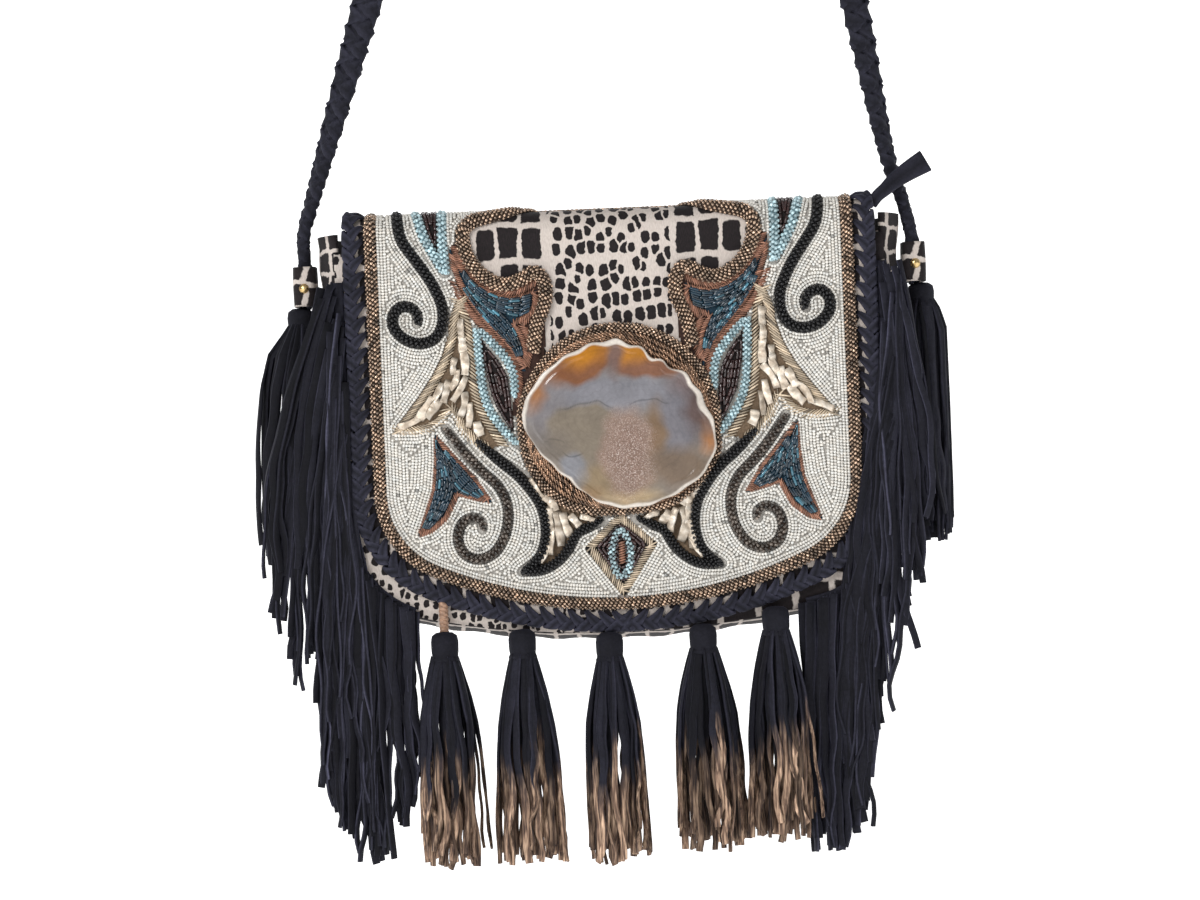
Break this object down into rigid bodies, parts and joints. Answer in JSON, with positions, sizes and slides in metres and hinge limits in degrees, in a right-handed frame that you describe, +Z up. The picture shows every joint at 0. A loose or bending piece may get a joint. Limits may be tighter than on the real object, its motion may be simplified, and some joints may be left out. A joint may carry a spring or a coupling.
{
  "type": "beaded fringe flap shoulder bag",
  "caption": "Printed hide shoulder bag with a beaded flap round an agate slice, laced edge, suede fringe and tassels, on a braided strap.",
  "frame": {"origin": "underside of the strap's highest bend, where a shoulder or a peg carries the bag", "axes": "+Z up along the hanging strap, the beaded front faces -Y, +X to the right as the front is seen"},
  "size_m": [0.315, 0.0655, 0.7495],
  "materials": {
    "hide": "printed hair-on hide",
    "white_beads": "opaque pearl seed beads",
    "bronze_beads": "metallic bronze seed beads",
    "black_beads": "opaque black seed beads",
    "grey_beads": "grey lustre seed beads",
    "blue_beads": "dark blue seed beads, copper edge",
    "sky_beads": "light blue seed beads, brown centre",
    "gold_leather": "metallic gold leather strips",
    "agate": "polished agate slice with a crystal centre",
    "suede": "black suede",
    "gold_metal": "polished gold"
  },
  "bodies": {
    "root": {"hide_back_flap": "hide", "front_panel": "hide", "gusset": "hide", "strap_sleeve_left": "hide", "strap_sleeve_right": "hide", "bead_panel": "white_beads", "border_roll": "bronze_beads", "window_roll_left": "bronze_beads", "window_roll_right": "bronze_beads", "stone_collar": "bronze_beads", "upper_scroll_left": "black_beads", "upper_scroll_right": "black_beads", "fork_left": "black_beads", "fork_right": "black_beads", "lower_scroll_left": "grey_beads", "lower_scroll_right": "grey_beads", "blue_leaf_left": "blue_beads", "blue_leaf_right": "blue_beads", "blue_arrow_left": "blue_beads", "blue_arrow_right": "blue_beads", "sky_leaf_left": "sky_beads", "sky_leaf_right": "sky_beads", "sky_bud_left": "sky_beads", "sky_bud_right": "sky_beads", "gold_feather_left": "gold_leather", "gold_feather_right": "gold_leather", "gold_fan_left": "gold_leather", "gold_fan_right": "gold_leather", "lozenge": "gold_leather", "agate_slice": "agate", "flap_lacing": "suede", "lacing_tail": "suede", "fringe_left": "suede", "fringe_right": "suede", "strap": "suede", "strap_tassel_left": "suede", "strap_tassel_right": "suede", "tassel_1": "suede", "tassel_2": "suede", "tassel_3": "suede", "tassel_4": "suede", "tassel_5": "suede", "tassel_cord": "gold_metal", "rivet_left": "gold_metal", "rivet_right": "gold_metal"}
  },
  "joints": []
}
